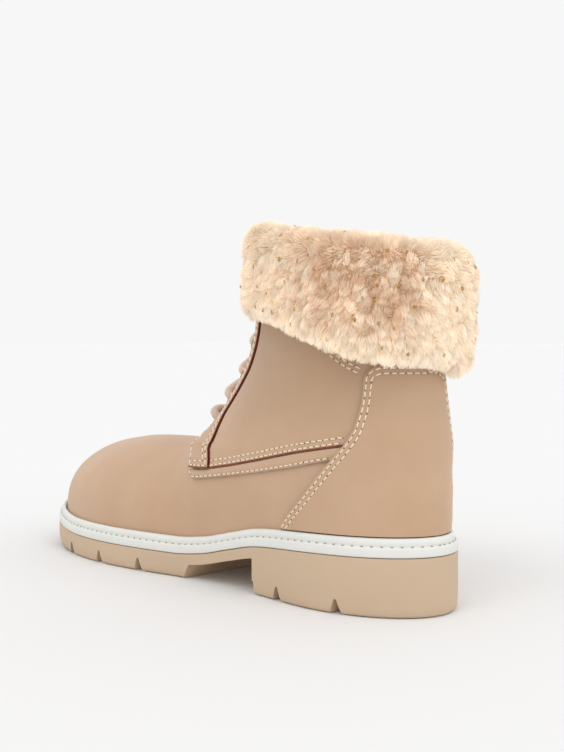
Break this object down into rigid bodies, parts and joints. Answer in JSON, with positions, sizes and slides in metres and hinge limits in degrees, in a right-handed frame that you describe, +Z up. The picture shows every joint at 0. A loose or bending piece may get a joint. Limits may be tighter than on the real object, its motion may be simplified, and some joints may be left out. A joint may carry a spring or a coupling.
{
  "type": "lace-up ankle boot",
  "caption": "Left lace-up ankle boot with a lugged heel sole, pale stepped welt, stitched panels, an open laced throat and a folded fur cuff around the collar.",
  "frame": {"origin": "on the floor plane under the middle of the heel tread, on the boot's centre line", "axes": "+Z up, -Y towards the toe, +X towards the outer (lateral) side of the left foot"},
  "size_m": [0.0973, 0.2784, 0.1671],
  "materials": {
    "sole_rubber": "matt moulded",
    "welt": "smooth satin",
    "insole": "napped",
    "nubuck": "nubuck",
    "strap": "nubuck",
    "tongue": "nubuck",
    "lace": "woven cord",
    "fur": "long pile",
    "eyelet": "satin"
  },
  "bodies": {
    "root": {"outsole": "sole_rubber", "welt": "welt", "insole": "insole", "upper": "nubuck", "quarter_outer": "nubuck", "quarter_inner": "nubuck", "side_band": "strap", "heel_counter": "nubuck", "eyestay_outer": "strap", "eyestay_inner": "strap", "tongue": "tongue", "lace": "lace", "fur_cuff": "fur", "eyelet_outer_1": "eyelet", "eyelet_outer_2": "eyelet", "eyelet_outer_3": "eyelet", "eyelet_outer_4": "eyelet", "eyelet_outer_5": "eyelet", "eyelet_inner_1": "eyelet", "eyelet_inner_2": "eyelet", "eyelet_inner_3": "eyelet", "eyelet_inner_4": "eyelet", "eyelet_inner_5": "eyelet"}
  },
  "joints": []
}
